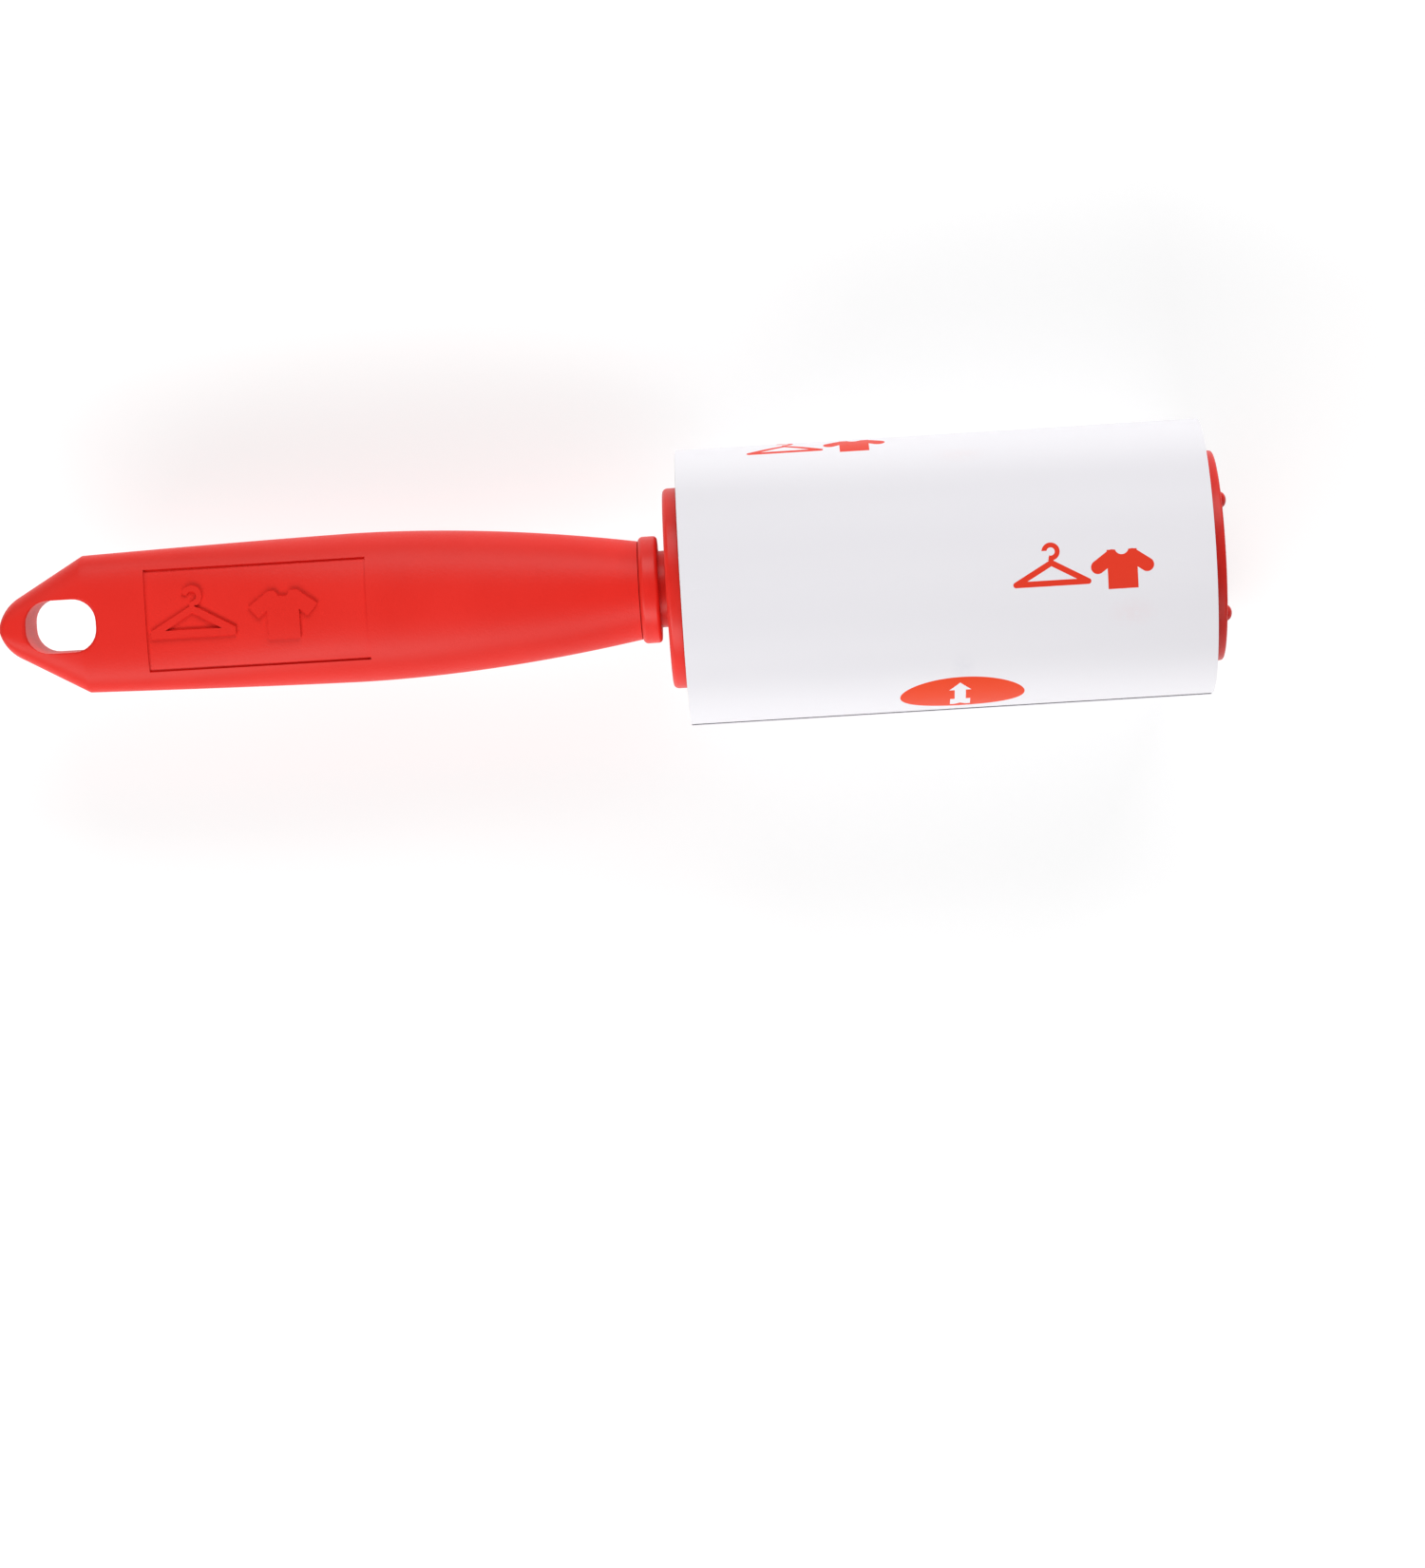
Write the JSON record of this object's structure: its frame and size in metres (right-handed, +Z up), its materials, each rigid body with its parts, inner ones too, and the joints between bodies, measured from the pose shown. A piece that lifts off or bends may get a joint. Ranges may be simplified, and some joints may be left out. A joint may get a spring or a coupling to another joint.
{
  "type": "lint roller",
  "caption": "Hand lint roller: a moulded grip with a hanging hole, and a roll of wound adhesive sheets that spins on a spool and slides off behind a click-in end cap.",
  "frame": {"origin": "on the surface that the roller lies on, below the middle of its whole length and below its axle", "axes": "+X along the axle from the grip to the end cap, +Z up, through the hanging hole, +Y across the grip's width"},
  "size_m": [0.2338, 0.0528, 0.0528],
  "materials": {
    "grip_plastic": "satin red, fine spark-eroded grain",
    "stem_plastic": "smooth semi-gloss red",
    "spool_plastic": "smooth moulded red",
    "acetal": "natural white, low friction",
    "steel": "zinc plated",
    "cardboard": "spiral wound grey-brown board",
    "adhesive_paper": "cut ends of wound coated paper",
    "printed_sheet": "glossy white coated paper, printed"
  },
  "bodies": {
    "handle": {"grip_upper_shell": "grip_plastic", "grip_lower_shell": "grip_plastic", "grip_screw_rear": "steel", "grip_screw_front": "steel", "ferrule": "stem_plastic", "stem": "stem_plastic", "axle_rod": "steel", "thrust_washer": "acetal", "axle_washer": "steel", "axle_screw": "steel"},
    "spool": {"spool_drum": "spool_plastic", "handle_side_bush": "acetal", "cap_side_bush": "acetal"},
    "refill": {"core_tube": "cardboard", "adhesive_roll": "adhesive_paper", "top_sheet": "printed_sheet"},
    "end_cap": {"end_cap": "stem_plastic"}
  },
  "joints": [
    {"name": "roller_spin", "type": "hinge", "parent": "handle", "child": "spool", "pos_m": [0.01386, 0, 0.0264], "axis": [1, 0, 0], "continuous": true},
    {"name": "refill_slide", "type": "slide", "parent": "spool", "child": "refill", "axis": [1, 0, 0], "range_m": [0, 0.11]},
    {"name": "cap_pull", "type": "slide", "parent": "refill", "child": "end_cap", "axis": [1, 0, 0], "range_m": [0, 0.03]}
  ]
}
